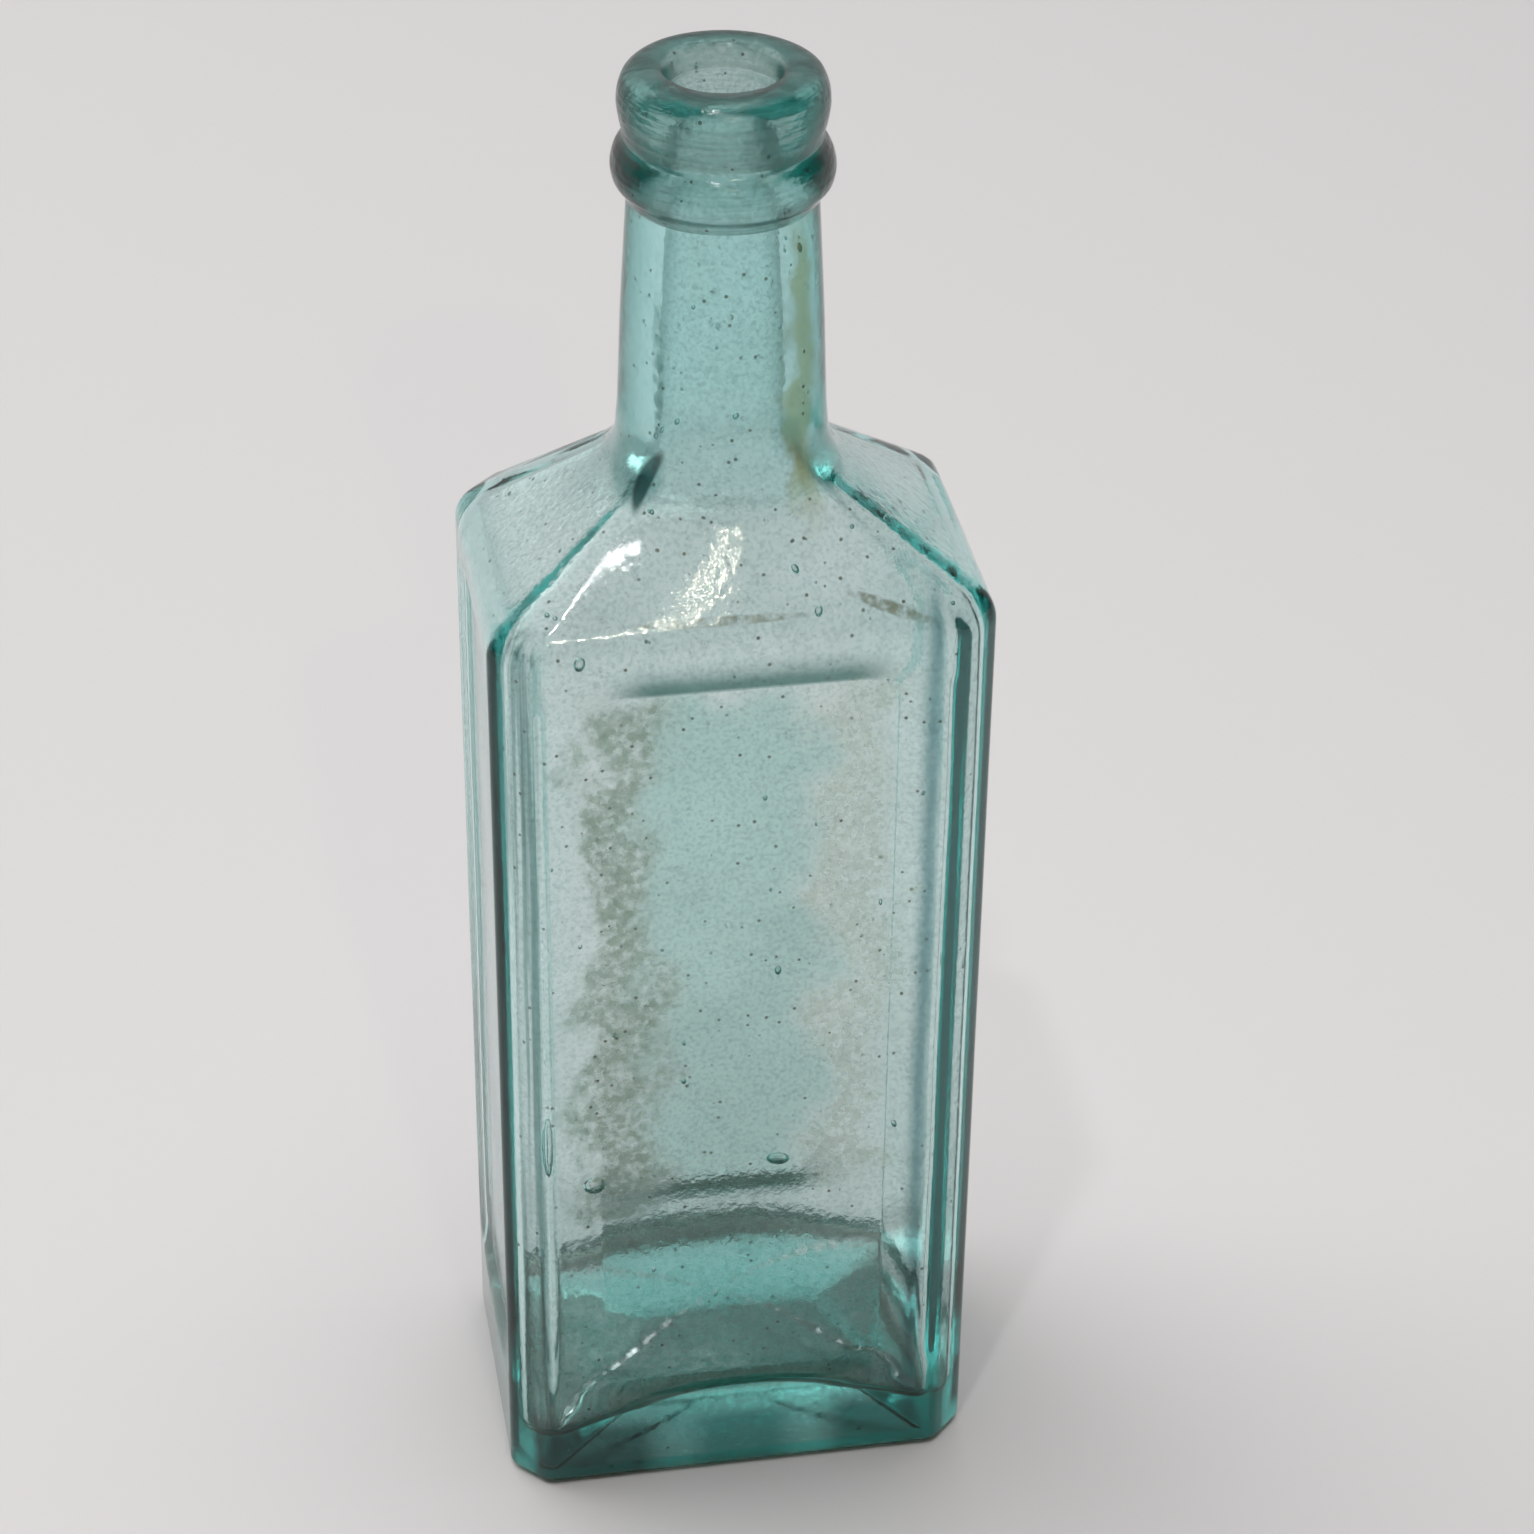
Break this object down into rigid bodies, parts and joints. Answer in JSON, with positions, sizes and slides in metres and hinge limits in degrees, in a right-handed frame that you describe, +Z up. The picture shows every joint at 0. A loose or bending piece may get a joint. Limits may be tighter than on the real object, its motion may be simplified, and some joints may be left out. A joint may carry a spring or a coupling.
{
  "type": "apothecary bottle",
  "caption": "Open upright medicine bottle of thick aqua glass: oblong body with cut corners and sunken panels, sloping shoulder, round neck and tooled lip with collar and bead.",
  "frame": {"origin": "middle of the base, on the surface that the bottle stands on", "axes": "+Z up along the neck, +X across the wide front wall, front wall facing -Y"},
  "size_m": [0.0686, 0.049, 0.216],
  "materials": {
    "aqua_glass": "clear aqua glass, fire-polished, with seeds, faint waves and a light haze of age"
  },
  "bodies": {
    "root": {"bottle_body": "aqua_glass", "applied_lip": "aqua_glass"}
  },
  "joints": []
}
